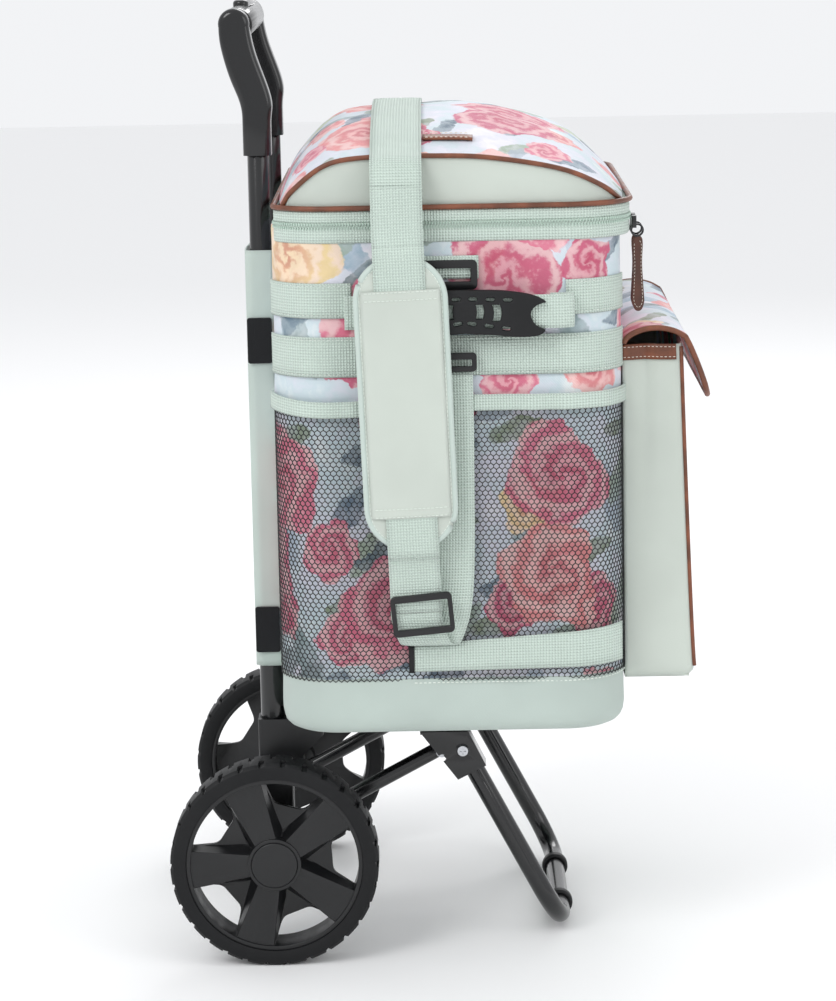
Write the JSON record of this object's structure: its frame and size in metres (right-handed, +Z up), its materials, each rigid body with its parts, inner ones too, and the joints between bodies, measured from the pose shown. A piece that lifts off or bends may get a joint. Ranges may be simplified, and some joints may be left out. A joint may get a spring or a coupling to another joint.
{
  "type": "wheeled shopping trolley",
  "caption": "Two-wheeled shopping trolley with a folding stand leg, a telescopic handle and a lidded insulated bag with side nets and a front pocket.",
  "frame": {"origin": "middle of the footprint on the floor, wheels and stand leg down", "axes": "+X towards the front pocket, +Y towards the trolley's left side, +Z up; the wheel axle runs along Y"},
  "size_m": [0.4164, 0.416, 0.731],
  "materials": {
    "tyre_black": "moulded, dull",
    "black_plastic": "moulded, satin",
    "black_gloss": "moulded, glossy",
    "black_steel": "black powder coat",
    "bright_steel": "zinc plated",
    "black_rubber": "moulded",
    "print_fabric": "woven, floral print",
    "mint_fabric": "plain weave",
    "mint_webbing": "ribbed webbing",
    "pale_fabric": "padded, plain weave",
    "mesh": "open net",
    "lining": "coated film",
    "leather": "stitched"
  },
  "bodies": {
    "frame": {"axle_shaft": "bright_steel", "push_nuts": "bright_steel", "corner_bracket_left": "black_plastic", "corner_bracket_right": "black_plastic", "outer_tube_left": "black_steel", "outer_tube_right": "black_steel", "tube_bushes": "black_plastic", "platform_rails": "black_steel", "platform_deck": "black_plastic", "hinge_plate_left": "black_steel", "hinge_plate_right": "black_steel", "strut_left": "black_steel", "strut_right": "black_steel", "hinge_bolts": "bright_steel"},
    "leg": {"u_leg": "black_steel", "foot_rings": "black_rubber"},
    "wheel_right": {"tyre_right": "tyre_black", "rim_right": "black_plastic", "hub_cap_right": "black_plastic"},
    "wheel_left": {"tyre_left": "tyre_black", "rim_left": "black_plastic", "hub_cap_left": "black_plastic"},
    "handle": {"inner_tube_left": "black_steel", "inner_tube_right": "black_steel", "handle_arm_left": "black_gloss", "handle_arm_right": "black_gloss", "handle_grip": "black_gloss", "lock_plugs": "black_plastic", "button_spring": "bright_steel"},
    "button": {"release_button": "black_gloss", "release_bar": "black_plastic"},
    "bag": {"bag_shell": "print_fabric", "liner": "lining", "base_panel": "mint_fabric", "zip_lower": "mint_webbing", "lid_back": "print_fabric", "rear_sleeve": "mint_fabric", "mesh_pocket_left": "mesh", "mesh_pocket_right": "mesh", "pocket_bindings": "mesh", "webbing_bands": "mint_webbing", "front_pocket": "print_fabric", "carry_loop_right": "mint_webbing", "carry_grip_right": "black_rubber", "strap_right": "mint_webbing", "strap_left": "mint_webbing", "shoulder_pad": "pale_fabric", "strap_adjuster": "black_plastic", "strap_hooks": "black_plastic"},
    "lid": {"lid_dome": "print_fabric", "zip_upper": "mint_webbing", "strap_top": "mint_webbing", "lid_loop": "leather", "zip_sliders": "black_steel"},
    "flap": {"flap_top": "print_fabric"},
    "flap_edge": {"flap_front": "print_fabric"},
    "carry_handle_left": {"carry_loop_left": "mint_webbing", "carry_grip_left": "black_rubber"},
    "pull_front": {"pull_tab_front": "leather"},
    "pull_side": {"pull_tab_side": "leather"}
  },
  "joints": [
    {"name": "wheel_right_spin", "type": "hinge", "parent": "frame", "child": "wheel_right", "pos_m": [-0.128, -0.154, 0.08], "axis": [0, 1, 0], "continuous": true},
    {"name": "wheel_left_spin", "type": "hinge", "parent": "frame", "child": "wheel_left", "pos_m": [-0.128, 0.154, 0.08], "axis": [0, 1, 0], "continuous": true},
    {"name": "handle_slide", "type": "slide", "parent": "frame", "child": "handle", "axis": [0, 0, 1], "range_m": [0, 0.3]},
    {"name": "button_press", "type": "slide", "parent": "handle", "child": "button", "axis": [0, 0, -1], "range_m": [0, 0.003], "stiffness_N_per_m": 800, "deforming": ["button_spring"]},
    {"name": "leg_fold", "type": "hinge", "parent": "frame", "child": "leg", "pos_m": [0.018, 0, 0.155], "axis": [0, 1, 0], "range_deg": [0, 75]},
    {"name": "bag_lift", "type": "slide", "parent": "frame", "child": "bag", "axis": [0, 0, 1], "range_m": [0, 0.045]},
    {"name": "lid_open", "type": "hinge", "parent": "bag", "child": "lid", "pos_m": [-0.098, 0, 0.6178], "axis": [0, -1, 0], "range_deg": [0, 65]},
    {"name": "flap_lift", "type": "hinge", "parent": "bag", "child": "flap", "pos_m": [0.1444, 0, 0.4765], "axis": [0, -1, 0], "range_deg": [0, 35]},
    {"name": "flap_edge_lift", "type": "hinge", "parent": "flap", "child": "flap_edge", "pos_m": [0.1864, 0, 0.48], "axis": [0, -1, 0], "range_deg": [0, 50]},
    {"name": "carry_handle_left_swing", "type": "hinge", "parent": "bag", "child": "carry_handle_left", "pos_m": [0.022, 0.1875, 0.4945], "axis": [-1, 0, 0], "range_deg": [0, 30]},
    {"name": "pull_front_swing", "type": "hinge", "parent": "lid", "child": "pull_front", "pos_m": [0.154, -0.127, 0.5555], "axis": [0, -1, 0], "range_deg": [0, 60]},
    {"name": "pull_side_swing", "type": "hinge", "parent": "lid", "child": "pull_side", "pos_m": [0.154, -0.143, 0.5555], "axis": [0, -1, 0], "range_deg": [0, 60]}
  ]
}
